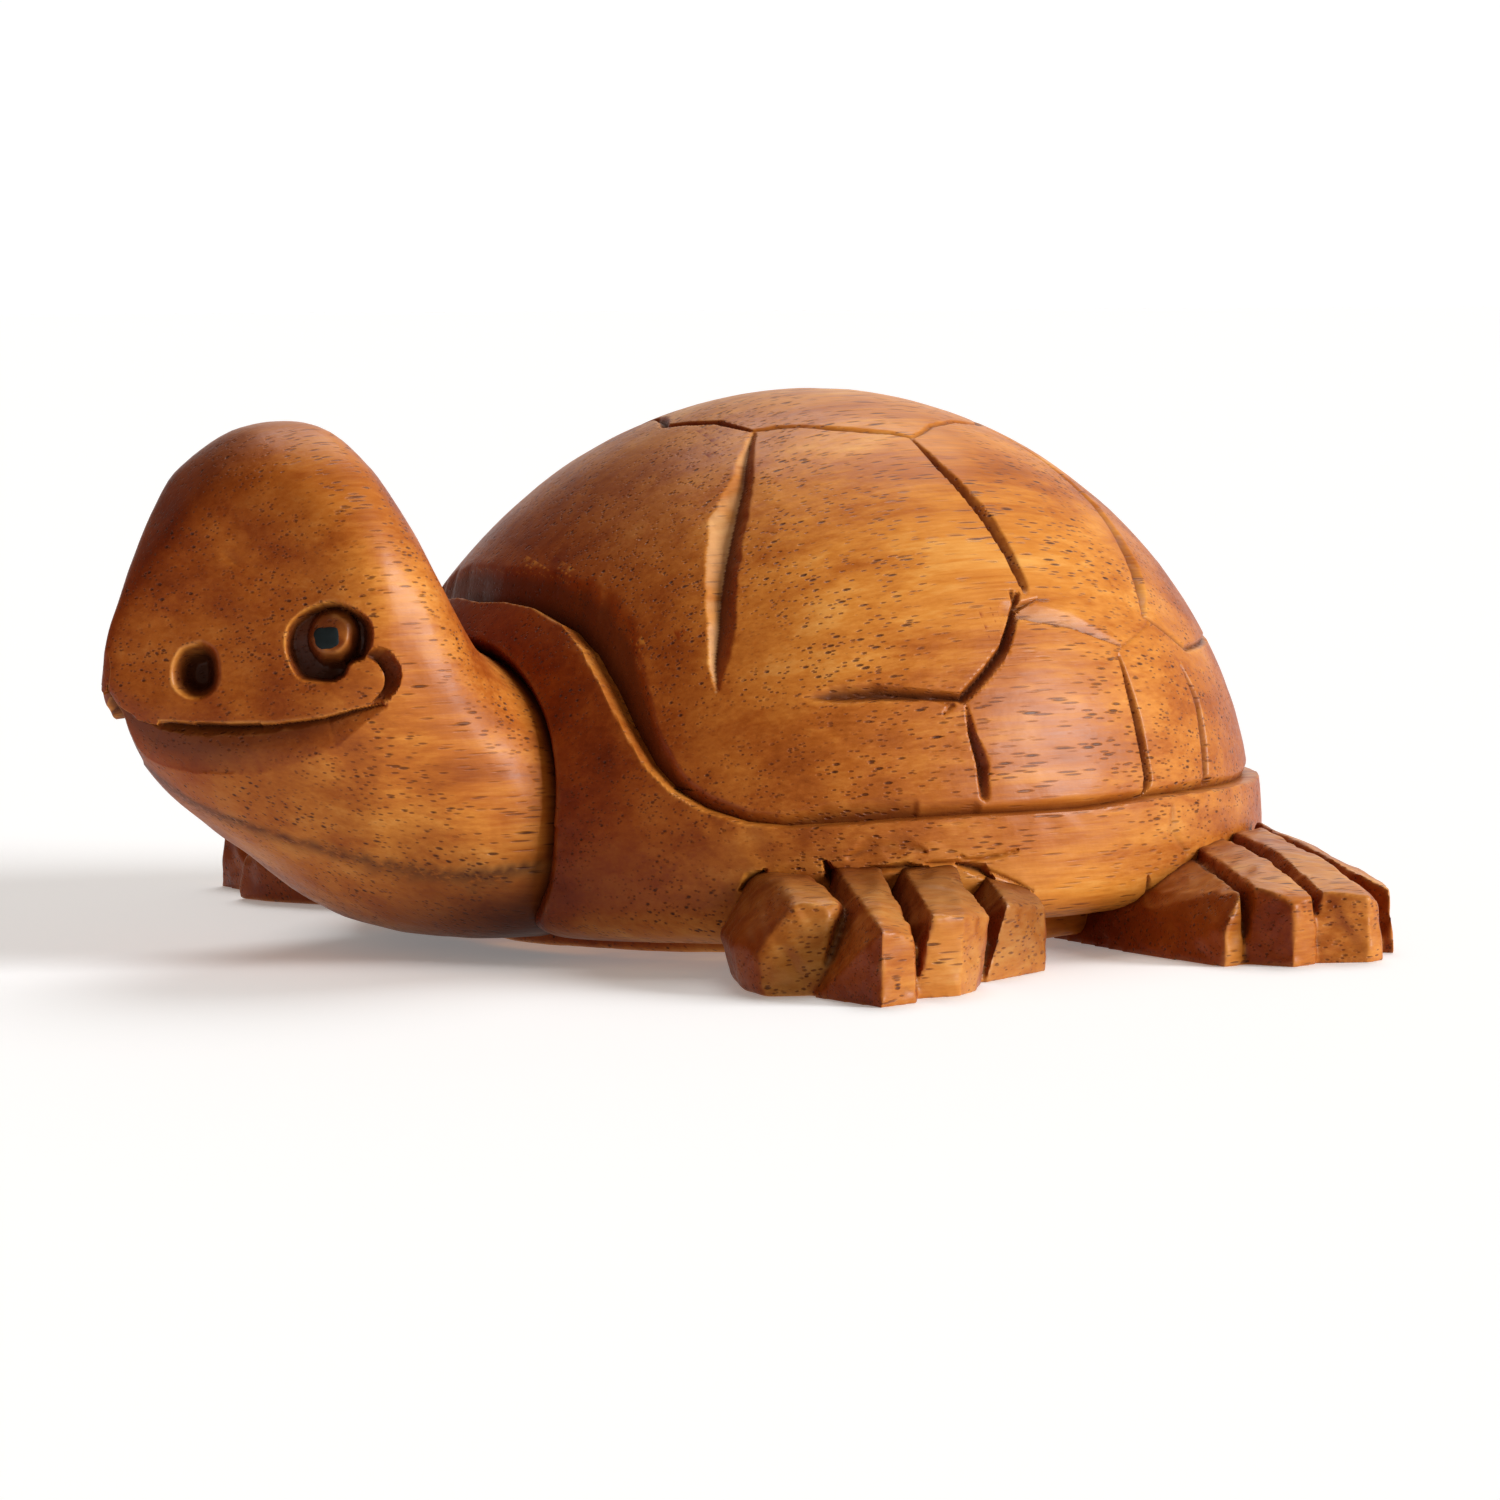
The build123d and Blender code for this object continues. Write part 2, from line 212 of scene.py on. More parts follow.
class Pit:
    """A hole with a rounded outline, given as offsets from its middle, and steep walls."""

    farthest = 12  # mm from its middle, past which a pit cuts nothing

    def __init__(self, at, out, outline, depth, wall):
        self.at, self.out, self.depth, self.wall = np.array(at), unit(out), depth, wall
        self.across = unit(np.cross([0, 0, 1], self.out))
        self.upward = np.cross(self.out, self.across)
        ring = np.concatenate([outline[-1:], outline, outline[:2]])
        self.outline = smooth_row(ring, np.arange(1, len(outline) + 1, 0.34))

    def reaches(self, points, margin):
        return length(points - self.at) < np.abs(self.outline).max() * 1.3 + margin

    def flat_place(self, points):
        """Each point's place across and up, seen straight on."""
        step = points - self.at
        return step @ self.across, step @ self.upward

    def inside(self, points):
        """Millimetres inside the outline, negative outside it."""
        a, b = self.flat_place(points)
        gap = np.full(len(points), np.inf)
        within = np.zeros(len(points), bool)
        for (a0, b0), (a1, b1) in zip(self.outline, np.roll(self.outline, -1, 0)):
            run = np.array([a1 - a0, b1 - b0])
            share = np.clip(((a - a0) * run[0] + (b - b0) * run[1]) / (run @ run), 0, 1)
            gap = np.minimum(gap, np.hypot(a - a0 - share * run[0], b - b0 - share * run[1]))
            crosses = (b0 > b) != (b1 > b)
            hit = a0 + (b - b0) / np.where(crosses, b1 - b0, 1) * (a1 - a0)
            within ^= crosses & (a < hit)
        return np.where(within, gap, -gap) * (length(points - self.at) < self.farthest)

    def cut(self, points, normals):
        """How deep the pit is at each point, on the side of the piece that it opens to."""
        return self.depth * ease(self.inside(points), 0, self.wall) * (normals @ self.out > 0.2)


def pick_faces(piece, chosen):
    """Selects the faces that have any of the chosen points."""
    mesh = piece.data
    corners = np.empty(len(mesh.loops), int)
    mesh.loops.foreach_get("vertex_index", corners)
    starts = np.empty(len(mesh.polygons), int)
    mesh.polygons.foreach_get("loop_start", starts)
    touched = np.add.reduceat(chosen[corners].astype(int), starts) > 0
    bpy.ops.object.mode_set(mode="EDIT")
    bpy.ops.mesh.select_mode(type="FACE")
    bpy.ops.mesh.select_all(action="DESELECT")
    bpy.ops.object.mode_set(mode="OBJECT")
    mesh.polygons.foreach_set("select", touched)
    bpy.ops.object.mode_set(mode="EDIT")


def refine(piece, cuts, margins, shape):
    """Halves the faces round the cuts, once for each margin in mm."""
    for margin in margins:
        points = shape(spots(piece))
        near = np.zeros(len(points), bool)
        for cut in cuts:
            near |= cut.reaches(points, margin)
        pick_faces(piece, near)
        bpy.ops.mesh.subdivide(number_cuts=1)
        bpy.ops.object.mode_set(mode="OBJECT")


def mark(piece, name, values):
    """Keeps a value for each point, for the finish to read."""
    layer = piece.data.attributes.new(name, "FLOAT", "POINT")
    layer.data.foreach_set("value", np.asarray(values, np.float32))


def carve(piece, cuts, uneven=0.05, more=None):
    """Takes all the cuts off a piece, with a slight unevenness of the whole surface."""
    points, normals = spots(piece), facing(piece)
    depth, bare = np.zeros(len(points)), np.zeros(len(points))
    for cut in cuts:
        depth = np.maximum(depth, cut.cut(points, normals))
        bare = np.maximum(bare, getattr(cut, "pale", 0) * 1.0)
    if more is not None:
        depth = np.maximum(depth, more)
    skin = uneven * (ripple(points, 3.5) + 0.5 * ripple(points, 1.6, 5.0))
    settle(piece, points - normals * (depth - skin)[:, None])
    # A cut is darkened in full from 0.6 mm down, by stain with painted shade, and darker still from
    # 1.1 to 2.2 mm, painted shade in the deep recesses
    mark(piece, "cut", np.clip(depth / 0.6, 0, 1) * (1 - bare))
    mark(piece, "deep", np.clip((depth - 1.1) / 1.1, 0, 1) * (1 - bare))
    mark(piece, "bare", bare)


def note_edges_hollows_and_grain(piece):
    """Notes how sharply each point stands out or lies in a hollow, for the finish to read."""
    ends = np.empty(2 * len(piece.data.edges), int)
    piece.data.edges.foreach_get("vertices", ends)
    one, other = ends.reshape(-1, 2).T
    points, normals = spots(piece), facing(piece)

    def gathered(at_one, at_other):
        """The sum, at each point, of what its edges bring to it."""
        return np.bincount(one, at_one, len(points)) + np.bincount(other, at_other, len(points))

    step = points[other] - points[one]
    square, single = (step * step).sum(1), np.ones(len(one))
    fall = gathered(-(step * normals[one]).sum(1), (step * normals[other]).sum(1))
    bend = fall / np.maximum(gathered(square, square), 1e-6)
    neighbours = np.maximum(gathered(single, single), 1)
    # Five turns of smoothing leave out the unevenness of the mesh itself
    for turn in range(5):
        bend = 0.5 * bend + 0.5 * gathered(bend[other], bend[one]) / neighbours
    contrast = 1.6
    # In the finish, edge lightens standing edges as wear with a painted highlight, and hollow
    # darkens concave places as pooled stain with painted shade
    mark(piece, "edge", np.clip(bend * contrast - 0.35, 0, 1))
    mark(piece, "hollow", np.clip(-bend * contrast - 0.1, 0, 1))
    mark(piece, "end_grain", np.abs(normals[:, 1]))


def fresh(add, **settings):
    """Adds a basic form, the only one that is selected, and returns it."""
    bpy.ops.object.select_all(action="DESELECT")
    add(**settings)
    return bpy.context.object


@contextmanager
def opened(piece):
    """Opens a piece's mesh with all of it selected, and closes it again."""
    bpy.context.view_layer.objects.active = piece
    bpy.ops.object.mode_set(mode="EDIT")
    bpy.ops.mesh.select_all(action="SELECT")
    yield
    bpy.ops.object.mode_set(mode="OBJECT")


def finish_form(piece, name, nodes):
    """Triangles, smooth shading, and the piece's place in the frame."""
    piece.name = piece.data.name = name
    bpy.ops.object.select_all(action="DESELECT")
    piece.select_set(True)
    with opened(piece):
        bpy.ops.mesh.quads_convert_to_tris(quad_method="SHORTEST_DIAGONAL")
        bpy.ops.mesh.normals_make_consistent(inside=False)
    sharpest_rounded = radians(38)
    bpy.ops.object.shade_smooth_by_angle(angle=sharpest_rounded)
    note_edges_hollows_and_grain(piece)
    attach(piece, "root")
    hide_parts(*nodes)


def ball(levels):
    """A ball of even triangles with a radius of 1 mm."""
    return fresh(bpy.ops.mesh.primitive_ico_sphere_add, subdivisions=levels, radius=mm)


def shell_stroke(rows, side, bare=0):
    """A groove on one side; those on the right wander a little, as no two are cut alike."""
    rows = np.array(rows, float)
    steps = np.linspace(0, len(rows) - 1, 4 * len(rows) - 3)
    around, up, front, rear, depth = (np.interp(steps, np.arange(len(rows)), row)
                                      for row in rows.T)
    if side < 0:
        up = up + 0.7 * np.sin(around / 9)
        depth = depth * (1 + 0.2 * np.sin(around / 5))
    line = on_shell(side * around, up)
    return Stroke(line, *((rear, front) if side > 0 else (front, rear)), depth, bare=bare * side)


def shell_form(points):
    """The dome, closed underneath by a nearly flat face inside the trunk."""
    dome_ends, sine_there = 1.5, 0.026
    points = points / length(points)[:, None]
    around = np.degrees(np.arctan2(points[:, 0], -points[:, 1]))
    up = np.degrees(np.arcsin(np.clip(points[:, 2], -1, 1)))
    dome = on_shell(around, np.maximum(up, dome_ends))
    under = points * shell_radii + middle
    under[:, 2] = dome[:, 2] + 0.5 * (points[:, 2] - sine_there)
    return np.where(up[:, None] > dome_ends, dome, under)


class Border:
    """The meeting line of shell and trunk, so that the mesh can be made fine along it."""

    def __init__(self, below, above):
        self.below, self.above = below, above

    def reaches(self, points, margin):
        gap = past_edge(points)
        return (gap > -self.below - margin) & (gap < self.above + margin)


shell = ball(6)
pale_groove = 4
shell_cuts = [shell_stroke(rows, side, -(k == pale_groove)) for k, rows in enumerate(grooves)
              for side in (1, -1)]
refine(shell, shell_cuts + [Border(0.3, 3.4)], (1.0, 0.5, 0.0), shell_form)
settle(shell, shell_form(spots(shell)))
around, up = turning(spots(shell))
gap = past_edge(spots(shell))
width, depth = (np.interp(np.abs(around), channel[:, 0], column) for column in channel.T[1:])
# The channel has a straight flank over the front arch and a hollow one along the sides. Below
# the edge line the shell draws in, so that it stays inside the trunk.
roundness = np.interp(np.abs(around), (36, 46), (1.0, 1.3))
rim_cut = depth * np.clip(1 - gap / width, 0, 1) ** roundness + 5 * ease(-gap, 0, 2.5)
carve(shell, shell_cuts, more=rim_cut)
finish_form(shell, "carved_shell", ["shell"])

# ---- Head and neck ----
# One tapering form of the same block, set off from the shoulders by a deep cut. The mouth is
# one long stroke under the lip, and nostrils and eyes are dug out with a small gouge.
# Each row: place along the turtle, half width, then highest, widest and lowest level, in mm
head_rows = np.array([
    (-62.3, 1.2, 27.4, 25.6, 23.8), (-61.6, 2.6, 29.4, 25.6, 22.6), (-60.6, 3.9, 31.4, 25.6, 21.5),
    (-58.9, 5.5, 34.8, 25.4, 19.0), (-57.0, 7.1, 38.0, 25.2, 16.9), (-54.5, 9.1, 41.4, 25.2, 14.3),
    (-51.9, 10.9, 43.7, 25.0, 12.3), (-49.0, 12.7, 45.3, 24.7, 10.2),
    (-46.0, 14.0, 46.0, 24.3, 8.3), (-43.4, 14.8, 46.0, 23.4, 6.4), (-41.3, 15.1, 45.1, 22.4, 4.9),
    (-39.2, 15.3, 43.0, 21.0, 3.8), (-37.2, 15.4, 39.9, 19.2, 2.9), (-35.2, 15.45, 36.0, 17.2, 2.3),
    (-33.2, 15.5, 32.3, 15.0, 1.8), (-31.2, 15.6, 29.2, 13.4, 1.5), (-28.5, 15.5, 26.8, 12.0, 1.3),
    (-24.0, 15.2, 24.8, 11.0, 1.2)])
# How square the upper half of each section is: 2 would be an oval
upper_roundness = 2.15


def head_roundness(y):
    """The same for the lower half: an oval at the chin, squarer at the root."""
    return upper_roundness + 1.3 * ease(y, -42, -27)


def smooth_row(rows, place):
    """The rows' values at these places between them, on a smooth curve."""
    k = np.clip(place.astype(int), 0, len(rows) - 2)
    share = (place - k)[:, None]
    before, start, end, after = (rows[np.clip(k + step, 0, len(rows) - 1)]
                                 for step in (-1, 0, 1, 2))
    return 0.5 * (2 * start + (end - before) * share
                  + (2 * before - 5 * start + 4 * end - after) * share ** 2
                  + (3 * start - before - 3 * end + after) * share ** 3)


def head_form(points):
    """Bends a flat sheet round: its x runs round the section and its y from nose to root."""
    turn = pi + 2 * pi * (points[:, 0] + 0.5)
    along = np.clip(points[:, 1] + 0.5, 0, 1)
    cap = 0.04  # the share of the sheet that closes either end
    row = smooth_row(head_rows, np.clip((along - cap) / (1 - 2 * cap), 0, 1) * (len(head_rows) - 1))
    closing = np.sin(np.clip(np.minimum(along, 1 - along) / cap, 0, 1) * pi / 2)
    y, half, top, wide, low = row.T
    power = 2 / np.where(np.cos(turn) > 0, upper_roundness, head_roundness(y))
    x = half * closing * np.sign(np.sin(turn)) * np.abs(np.sin(turn)) ** power
    rise = np.where(np.cos(turn) > 0, top - wide, low - wide) * closing
    z = wide + rise * np.abs(np.cos(turn)) ** power
    return np.stack([x, y, z], 1)


def soft_plane(points, at, out, soft):
    """Brings what stands past a plane down to it, with a soft edge."""
    out = unit(out)
    past = (points - np.array(at)) @ out
    down = np.where(past > -soft, (past + soft) ** 2 / (4 * soft), 0)
    down = np.where(past > soft, past, down)
    return points - down[:, None] * out


def cheek_way(side, rise=0.14):
    """The way a cheek faces: turned 50 degrees from straight ahead, and slightly up."""
    return side * sin(radians(50)), -cos(radians(50)), rise


def head_shape(points):
    """The head with its flat forehead and its two flat cheeks."""
    points = soft_plane(head_form(points), (0, -56.7, 37.87), (0, -0.816, 0.577), 0.5)
    for side in (1, -1):
        points = soft_plane(points, (side * 8.6, -52.3, 27.0), cheek_way(side), 1.2)
    return points


def lip(side):
    """Half of the mouth: a broad band cut away under the lip, and the sharp line above it."""
    line = np.array([
        (0.0, -63.0, 23.2), (1.2, -60.6, 22.3), (2.5, -58.2, 21.5), (4.4, -55.6, 21.1),
        (6.4, -53.4, 21.0), (8.2, -51.4, 21.1), (10.1, -49.6, 21.4), (12.2, -47.6, 21.8),
        (13.4, -46.2, 22.3), (14.1, -45.0, 22.6), (14.5, -43.8, 22.9)]) * (side, 1, 1)
    low = np.array([1.6, 2.6, 3.4, 3.6, 3.5, 3.2, 2.9, 2.4, 1.6, 0.9, 0.4])
    high = np.array([0.25, 0.3, 0.35, 0.35, 0.35, 0.35, 0.3, 0.3, 0.25, 0.2, 0.15])
    deep = np.array([1.2, 1.5, 1.6, 1.5, 1.4, 1.3, 1.15, 0.95, 0.75, 0.6, 0.35])

    def stroke(below, above, depth, hollow, rough):
        return Stroke(line, *((below, above) if side < 0 else (above, below)), depth, hollow, rough)

    return [stroke(low, high, deep * 0.75, 1.1, 0.03),
            stroke(0.3 * low + 0.1, 0.8 * high, deep * 1.25, 0.8, 0.12)]


def mouth_corner(side):
    """The crescent that the gouge left behind the end of the mouth."""
    line = np.array([(14.4, -45.3, 27.0), (14.6, -44.1, 26.5), (14.7, -43.4, 25.2),
                     (14.7, -43.8, 23.9), (14.5, -45.0, 22.9)]) * (side, 1, 1)
    steps = 13
    line = smooth_row(line, np.linspace(0, 4, steps))
    swell = np.sin(np.linspace(0.08, 1, steps) ** 0.9 * pi).clip(0)
    outer, inner = 0.1 + 1.15 * swell, 0.1 + 0.2 * swell
    sides = (outer, inner) if side > 0 else (inner, outer)
    return Stroke(line, *sides, 0.15 + 1.35 * swell, hollow=0.7)


def nostril(side):
    outline = np.array([(0.2, 1.85), (1.3, 1.1), (1.5, -0.9), (0.5, -1.9), (-0.9, -2.0),
                        (-2.1, -1.2), (-2.3, 0.1), (-1.7, 1.3), (-0.7, 1.7)]) * (side * 1.12, 1.3)
    return Pit((side * 6.9, -57.1, 26.0), cheek_way(side, 0.1), outline, depth=3.1, wall=1.7)


class Eye(Pit):
    """The gouged ring, with a blunt boss left standing in it."""

    boss_middle, boss_half = (0.25, 0.9), (2.75, 2.9)

    def cut(self, points, normals):
        """The ring is a little deeper at the back and below, and the boss leans the same way."""
        across, high = self.flat_place(points)
        back = across * np.sign(self.at[0])
        floor = super().cut(points, normals)
        floor = floor * (1 + 0.16 * np.tanh(back) - 0.1 * np.tanh(high))
        far = np.hypot((back - self.boss_middle[0]) / self.boss_half[0],
                       (high - self.boss_middle[1]) / self.boss_half[1])
        far = far * (1 + 0.06 * ripple(points, 0.8))
        top = self.depth * 0.2 + 0.16 * (high - 0.6) - 0.10 * back + 0.08 * ripple(points, 0.7)
        boss = top + (self.depth * 1.2 - top) * ease(far, 0.5, 1.05)
        return np.clip(np.minimum(floor, boss * (floor > 0)), 0, None)


def eye(side):
    outline = np.array([(0.6, 3.6), (2.3, 3.0), (3.6, 2.0), (3.8, 0.4), (3.3, -1.1), (2.0, -1.7),
                        (1.6, -2.6), (0.5, -3.2), (-1.0, -3.2), (-2.4, -2.9), (-3.2, -1.6),
                        (-3.6, 0.0), (-3.3, 1.6), (-2.2, 2.7), (-1.0, 3.3)]) * (side, 1)
    return Eye((side * 11.4, -47.1, 27.8), cheek_way(side), outline, depth=2.3, wall=0.55)


# A small slip of the knife on the left brow
nick = Stroke([(5.7, -55.0, 37.0), (7.5, -54.1, 34.8)], [0.1, 0.5], [0.1, 0.5], [0.05, 0.3])
head = fresh(bpy.ops.mesh.primitive_grid_add, x_subdivisions=92, y_subdivisions=68, size=mm)
head_cuts = lip(1) + lip(-1) + [nick]
head_cuts += [make(side) for make in (mouth_corner, nostril, eye) for side in (1, -1)]
refine(head, head_cuts, (0.8, 0.3, 0.0), head_shape)
settle(head, head_shape(spots(head)))
with opened(head):
    bpy.ops.mesh.remove_doubles(threshold=0.00001)
    bpy.ops.mesh.dissolve_degenerate(threshold=0.000002)
    bpy.ops.mesh.normals_make_consistent(inside=False)
# The line of a growth ring, dark on the left side from under the chin back along the neck
ring_corners = np.array([(-8, -60, 20), (-1.5, -56.6, 16.6), (5.2, -49.8, 12.3),
                         (10.1, -41.9, 9.3), (13.0, -36, 8.3), (16.1, -29.4, 8.8)])
ring_steps = 21
growth_ring = Stroke(smooth_row(ring_corners, np.linspace(0, 5, ring_steps)),
                     [0.6] * ring_steps, [1.7] * ring_steps, [1.0] * ring_steps, rough=0.4)
streak = growth_ring.cut(spots(head), facing(head))
carve(head, head_cuts, uneven=0.07)
mark(head, "streak", streak)
finish_form(head, "carved_head", ["head", "neck"])


def off_neck(points):
    """About how many millimetres a point lies outside the neck's surface."""
    half, top, wide, low = (np.interp(points[:, 1], head_rows[:, 0], column)
                            for column in head_rows.T[1:])
    rise = np.where(points[:, 2] > wide, top - wide, wide - low)
    power = np.where(points[:, 2] > wide, upper_roundness, head_roundness(points[:, 1]))
    out = (np.abs(points[:, 0] / half) ** power
           + np.abs((points[:, 2] - wide) / rise) ** power) ** (1 / power)
    return (out - 1) * np.sqrt(half * rise)

# ---- Trunk ----
# The same block below the gouged line: a rounded rim all round, and the shoulders that rise
# into the opening at the front of the shell. A deep cut parts it from the neck, and knife and
# gouge marks are left on it above the feet.
trunk_radii = shell_radii + [0.95, 0.95, -1.6]
front_underside, rear_underside = 7.1, 5.8
rim_roundness = 5.0
neck_cut_width, neck_cut_depth = 1.3, 2.2
# Chips and slips of the tools, left side: spots on the wall, half width and depth
trunk_marks = [
    ([(28.7, -17.4, 7.0), (29.2, -16.7, 7.8), (29.8, -15.8, 8.6)], 0.8, 1.0),
    ([(32.2, -11.3, 9.3), (32.6, -10.8, 7.9), (32.9, -10.2, 6.5)], 0.8, 1.2),
    ([(33.5, -8.6, 8.5), (34.8, -4.9, 8.7), (35.5, -2.9, 8.5)], 0.5, 0.6),
    ([(36.1, -0.3, 8.8), (36.5, 2.0, 8.2), (36.6, 3.0, 7.4)], 0.7, 0.9),
    ([(35.3, -3.1, 8.9), (36.2, 0.5, 9.0), (36.7, 3.8, 9.3), (37.0, 5.5, 9.7)], 0.3, 0.3),
    ([(36.1, 0.0, 9.4), (36.6, 2.8, 8.0), (37.0, 4.9, 7.1), (37.1, 7.0, 6.1)], 0.25, 0.25),
    ([(33.0, -9.5, 9.6), (33.7, -7.7, 10.3), (34.6, -5.2, 10.5), (35.3, -3.1, 9.9)], 1.3, 0.22),
    ([(35.0, 24.0, 12.4), (35.2, 23.8, 10.1), (34.6, 26.0, 7.9)], 0.9, 0.15),
    ([(36.1, 20.6, 6.4), (36.1, 20.9, 4.8), (36.1, 20.4, 3.9)], 0.5, 0.4),
]


def trunk_form(points):
    """Egg-shaped above its widest level, and a straight wall with a rounded foot below it."""
    points = points / length(points)[:, None]
    flat = np.hypot(*(points[:, :2] / trunk_radii[:2]).T)
    upper = 1 / np.hypot(flat, points[:, 2] / trunk_radii[2])
    underside = rear_underside + (front_underside - rear_underside) * ease(-points[:, 1], 0.1, 0.7)
    lower = (flat ** rim_roundness + np.abs(points[:, 2] / underside) ** rim_roundness) \
        ** (-1 / rim_roundness)
    return middle + points * np.where(points[:, 2] > 0, upper, lower)[:, None]


def off_trunk(points):
    """About how many millimetres a point lies outside the trunk's own round."""
    return length(points - middle) - length(trunk_form(points - middle) - middle)


class NeckCut:
    """The cut round the neck, so that the mesh can be made fine along it."""

    def reaches(self, points, margin):
        gap = off_neck(points)
        return (gap > -1 - margin) & (gap < neck_cut_width + margin) & (points[:, 1] < -14)


def trunk_stroke(line, width, depth, side):
    widths = [0.2] + [width] * (len(line) - 2) + [0.2]
    return Stroke(np.array(line) * (side, 1, 1), widths, widths, [depth] * len(line), rough=0.2)


trunk = ball(6)
trunk_cuts = [trunk_stroke(*row, side) for row in trunk_marks for side in (1, -1)]
refine(trunk, [Border(0.6, 1.2), NeckCut()] + trunk_cuts, (1.0, 0.3, 0.0), trunk_form)
settle(trunk, trunk_form(spots(trunk)))
points, normals = spots(trunk), facing(trunk)
gap, beside_neck = past_edge(points), off_neck(points)
from_middle = length(points - middle)
inward = (middle - points) / from_middle[:, None]
at_front = ease(-points[:, 1], 12, 16)
# Past the edge line the wood steps in and then falls away, so that it stays under the shell
drop = 2.6 * ease(gap, -0.05, 0.5) + 0.35 * from_middle * ease(gap, 0.5, 6)
parted = neck_cut_depth * np.clip(1 - beside_neck / neck_cut_width, 0, 1.5) ** 1.3 * at_front
# Shallow, uneven cuts of the knife all over, and the single deeper slips
chips = 0.12 * ripple(points, 4.5, 2.0) + 0.05 * ripple(points, 1.2, 7.0)
knife = np.max([stroke.cut(points, normals) for stroke in trunk_cuts], axis=0)
settle(trunk, points + inward * (np.maximum(drop, parted) + np.abs(chips) + knife)[:, None])
# Darker along the edge line under the shell, painted shade, and in the knife marks, stain with
# painted shade
mark(trunk, "cut", np.clip(ease(gap, -0.3, 0.3) * 0.4 + knife, 0, 1))
# Painted shade darkens the crease beside the neck, widest near the ground
low = 1 - ease(points[:, 2], 5, 16)
beside = np.maximum(1 - ease(beside_neck, 0.0, 1.6),
                    (0.25 + 0.4 * low) * (1 - ease(beside_neck, 0, 11)))
mark(trunk, "crease_shade", beside * at_front)
finish_form(trunk, "carved_trunk", ["body"])
# Painted shadow on the neck beside the trunk, darkest at the trunk and near the ground
points = spots(head)
out_from_trunk, low = off_trunk(points), 1 - ease(points[:, 2], 4, 14)
shade = 0.95 * low * (1 - ease(out_from_trunk, 0, 13))
mark(head, "crease_shade", np.maximum(1 - ease(out_from_trunk, -1.6, 0.5), shade))

# ---- Feet, belly plate and tail ----
# Left standing at the foot of the same block: flat-soled fans, each parted into toes by three
# V-cuts, a raised plate under the belly and a short tail. They keep their saw-cut flats.
# Each toe is given by its corners, in mm, for the left side
front_palm = [(26, -15, 0), (34, -20.5, 0), (45.1, -21.3, 0), (50.2, -15.5, 0), (45.8, -5.4, 0),
              (36, 8, 0), (26, 6, 0), (26, -14, 4.5), (33, -12, 4.5), (35, -4, 4.5), (35, 3, 4),
              (26, 5, 4), (49.7, -15.3, 3.9), (48.4, -9.5, 3.6), (45.0, -4.9, 3.6)]
front_toes = [
    [(24, -14, 0), (33.5, -21.7, 0), (39.5, -24.8, 0), (43.5, -25.2, 0), (45.4, -21.7, 0),
     (32, -8, 0), (31, -21.3, 4), (38.5, -25.2, 4), (43.2, -25.4, 3.2), (28, -16.0, 8.3),
     (31.5, -12.2, 8.5), (43.7, -17.9, 7.5), (44.3, -22.0, 7.3), (38, -20.2, 8.7)],
    [(30, -11, 0), (45.2, -21.7, 0), (53.3, -20.9, 0), (52.6, -16.8, 0), (50.6, -15.3, 0),
     (32, -5.5, 0), (30.5, -9.4, 9.0), (53.1, -20.7, 6.3), (52.5, -17.1, 5.5), (32.5, -6.0, 8.9)],
    [(31, -8, 0), (50.6, -15.5, 0), (51.2, -11.5, 0), (49.6, -8.6, 0), (46, -5.3, 0), (32, 1, 0),
     (32.0, -3.5, 9.0), (51.0, -14.1, 6.8), (51.1, -11, 6.5), (48.9, -6.8, 6.0), (33.0, 1.0, 9.0)],
    [(32, -2, 0), (45.7, -4.6, 0), (42.5, 4.2, 0), (37, 8.4, 0), (30, 5, 0), (33.0, 4.2, 8.3),
     (45.1, -1.9, 6.3), (42.2, 4.3, 5.4), (34, 8.2, 6.7)],
]
rear_palm = [(26, 19, 0), (48.6, 20.0, 0), (51.4, 25.8, 0), (49.5, 33.5, 0), (38, 39, 0),
             (26, 38, 0), (28, 22, 4.4), (37, 26, 4.6), (37, 33, 4.6), (28, 38, 4.4),
             (50.6, 25.6, 3.2)]
rear_toes = [
    [(24, 19, 0), (38, 17.6, 0), (49.3, 18.1, 0), (49.0, 20.4, 0), (40, 25.5, 0), (28, 28, 0),
     (26, 20.6, 4.1), (37.5, 18.9, 3.9), (49.2, 18.3, 3.3), (48.8, 20.3, 6.2), (34.3, 27.0, 7.5),
     (28, 29.6, 8.1)],
    [(30, 27, 0), (48.7, 20.7, 0), (52.7, 22.9, 0), (52.2, 25.8, 0), (40, 31.5, 0), (30, 33, 0),
     (30, 29.7, 8.6), (40.5, 25.0, 7.8), (49.4, 21.3, 6.7), (51.3, 22.3, 6.0), (52.5, 23.0, 5.2),
     (52.1, 25.5, 5.9), (41, 29.4, 8.1), (31, 32.8, 8.8)],
    [(30, 30, 0), (51.4, 25.4, 0), (53.9, 30.4, 0), (53.3, 32.4, 0), (48, 36.5, 0), (30, 37, 0),
     (31, 34.4, 9.1), (41, 31.0, 8.4), (51.7, 26.8, 6.3), (53.6, 30.4, 5.6), (53.0, 32.0, 5.0),
     (43, 34.6, 7.7), (30, 38.3, 9.2)],
    [(30, 34, 0), (47.5, 34.6, 0), (50.3, 36.3, 0), (44.7, 40.5, 0), (34, 39.5, 0), (26, 38, 0),
     (28, 39.6, 9.4), (40, 36.8, 7.9), (46.4, 35.6, 6.7), (49.8, 36.2, 5.5), (44.6, 40.0, 5.4),
     (34, 41.2, 7.6)],
]
# The slanting end that was sliced off the rounded first toe: a spot on it, and where it faces
thumb_slice = ((43.6, -23.4, 0), (0.87, -0.43, 0.20))


def block(corners, side=1):
    """A flat-faced block with these corners."""
    piece = fresh(bpy.ops.mesh.primitive_circle_add, vertices=len(corners), radius=mm,
                  fill_type="NOTHING")
    settle(piece, np.array(corners) * (side, 1, 1))
    with opened(piece):
        bpy.ops.mesh.convex_hull(join_triangles=False)
        bpy.ops.mesh.normals_make_consistent(inside=False)
    return piece


